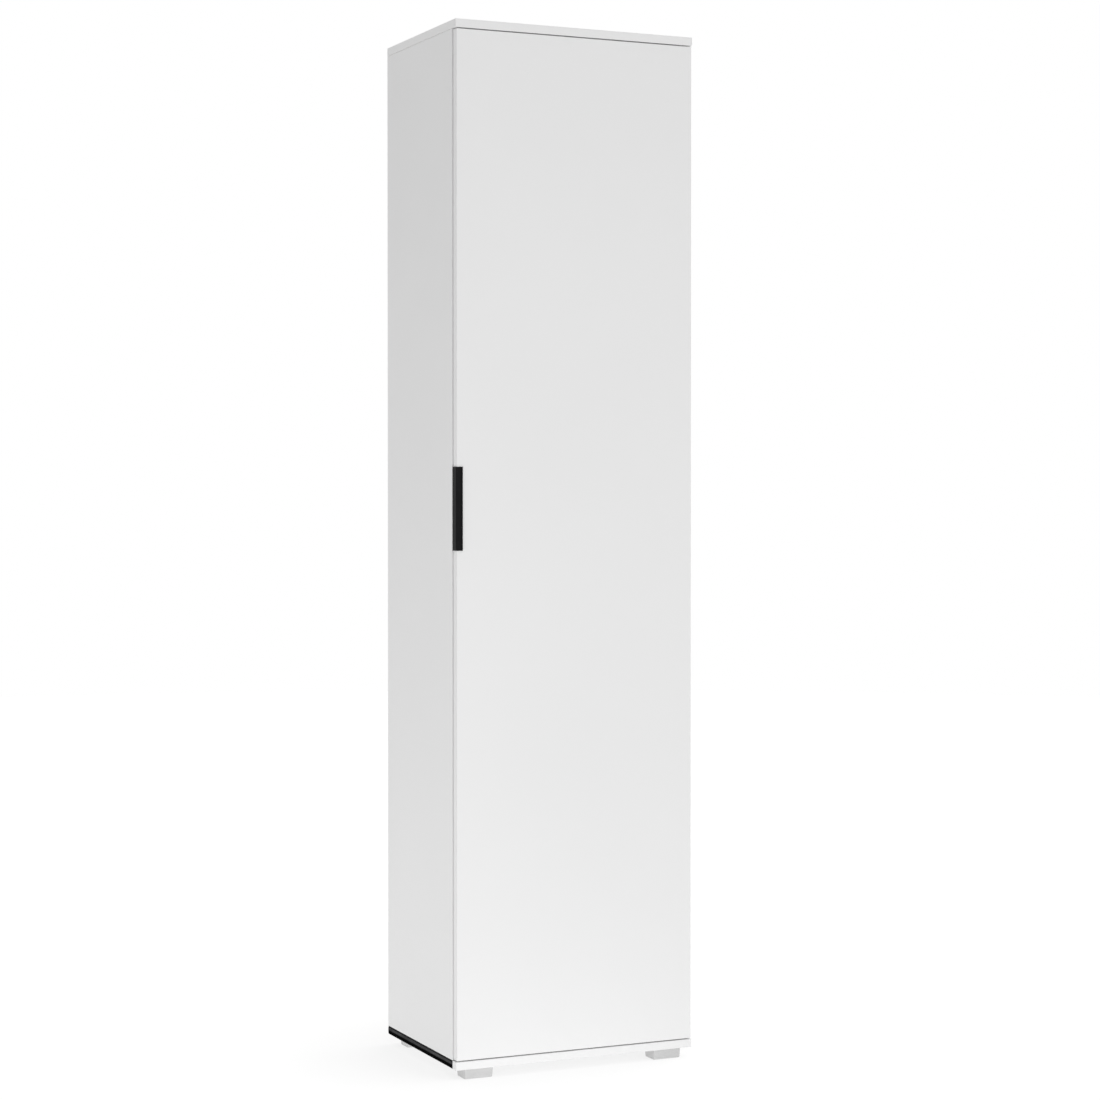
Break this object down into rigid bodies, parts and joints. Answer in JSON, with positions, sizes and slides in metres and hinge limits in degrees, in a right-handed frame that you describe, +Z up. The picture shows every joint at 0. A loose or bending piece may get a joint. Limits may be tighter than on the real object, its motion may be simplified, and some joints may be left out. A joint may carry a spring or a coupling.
{
  "type": "tall cupboard",
  "caption": "Tall narrow white board cupboard with one full-height overlay door on concealed hinges, an edge-mounted black pull, shelves inside and low feet.",
  "frame": {"origin": "on the floor under the middle of the cupboard's footprint", "axes": "+X to the right seen from the front, +Y to the rear, +Z up; the door faces -Y"},
  "size_m": [0.5, 0.3635, 2],
  "materials": {
    "white_board": "white melamine face on chipboard, satin",
    "white_hardboard": "thin hardboard, white lacquer, dull",
    "black_plastic": "black moulded or extruded plastic, satin",
    "grey_plastic": "light grey moulded plastic, matt",
    "black_metal": "black powder coat, satin",
    "nickel_steel": "nickel-plated steel",
    "zinc_steel": "zinc-plated steel",
    "pale_rubber": "pale soft bumper"
  },
  "bodies": {
    "carcass": {"side_panel_left": "white_board", "side_panel_right": "white_board", "top_panel": "white_board", "bottom_panel": "white_board", "bottom_front_rail": "white_board", "fixed_shelf": "white_board", "loose_shelf_1": "white_board", "loose_shelf_2": "white_board", "loose_shelf_3": "white_board", "loose_shelf_4": "white_board", "back_panel_lower": "white_hardboard", "back_panel_upper": "white_hardboard", "back_joint_profile": "black_plastic", "base_strip_left": "black_plastic", "base_strip_right": "black_plastic", "foot_front_left": "grey_plastic", "foot_front_right": "grey_plastic", "foot_rear_left": "grey_plastic", "foot_rear_right": "grey_plastic", "bumper_lower": "pale_rubber", "bumper_upper": "pale_rubber", "anti_tip_bracket": "zinc_steel", "bracket_screw": "nickel_steel", "hinge_plate_lower": "zinc_steel", "hinge_plate_middle": "zinc_steel", "hinge_plate_upper": "zinc_steel", "hinge_arm_lower": "nickel_steel", "hinge_arm_middle": "nickel_steel", "hinge_arm_upper": "nickel_steel", "shelf_pin_1_left_front": "nickel_steel", "shelf_pin_1_left_rear": "nickel_steel", "shelf_pin_1_right_front": "nickel_steel", "shelf_pin_1_right_rear": "nickel_steel", "shelf_pin_2_left_front": "nickel_steel", "shelf_pin_2_left_rear": "nickel_steel", "shelf_pin_2_right_front": "nickel_steel", "shelf_pin_2_right_rear": "nickel_steel", "shelf_pin_3_left_front": "nickel_steel", "shelf_pin_3_left_rear": "nickel_steel", "shelf_pin_3_right_front": "nickel_steel", "shelf_pin_3_right_rear": "nickel_steel", "shelf_pin_4_left_front": "nickel_steel", "shelf_pin_4_left_rear": "nickel_steel", "shelf_pin_4_right_front": "nickel_steel", "shelf_pin_4_right_rear": "nickel_steel"},
    "outer_links": {"hinge_outer_link_lower": "zinc_steel", "hinge_outer_link_middle": "zinc_steel", "hinge_outer_link_upper": "zinc_steel"},
    "inner_links": {"hinge_inner_link_lower": "zinc_steel", "hinge_inner_link_middle": "zinc_steel", "hinge_inner_link_upper": "zinc_steel"},
    "door": {"door_panel": "white_board", "door_handle": "black_metal", "handle_screw_lower": "nickel_steel", "handle_screw_upper": "nickel_steel", "hinge_cup_lower": "nickel_steel", "hinge_cup_middle": "nickel_steel", "hinge_cup_upper": "nickel_steel"}
  },
  "joints": [
    {"name": "outer_link_swing", "type": "hinge", "parent": "carcass", "child": "outer_links", "pos_m": [0.2075, -0.1438, 1], "axis": [0, 0, 1], "range_deg": [-19.58, 0]},
    {"name": "door_swing", "type": "hinge", "parent": "outer_links", "child": "door", "pos_m": [0.239, -0.166, 1], "axis": [0, 0, 1], "range_deg": [0, 114.57]},
    {"name": "inner_link_swing", "type": "hinge", "parent": "carcass", "child": "inner_links", "pos_m": [0.2142, -0.1708, 1], "axis": [0, 0, 1], "range_deg": [-33.45, 0]}
  ],
  "couplings": [
    {"joint": "outer_link_swing", "follows": "door_swing", "ratio": -0.17081},
    {"joint": "inner_link_swing", "follows": "door_swing", "ratio": -0.29187}
  ]
}
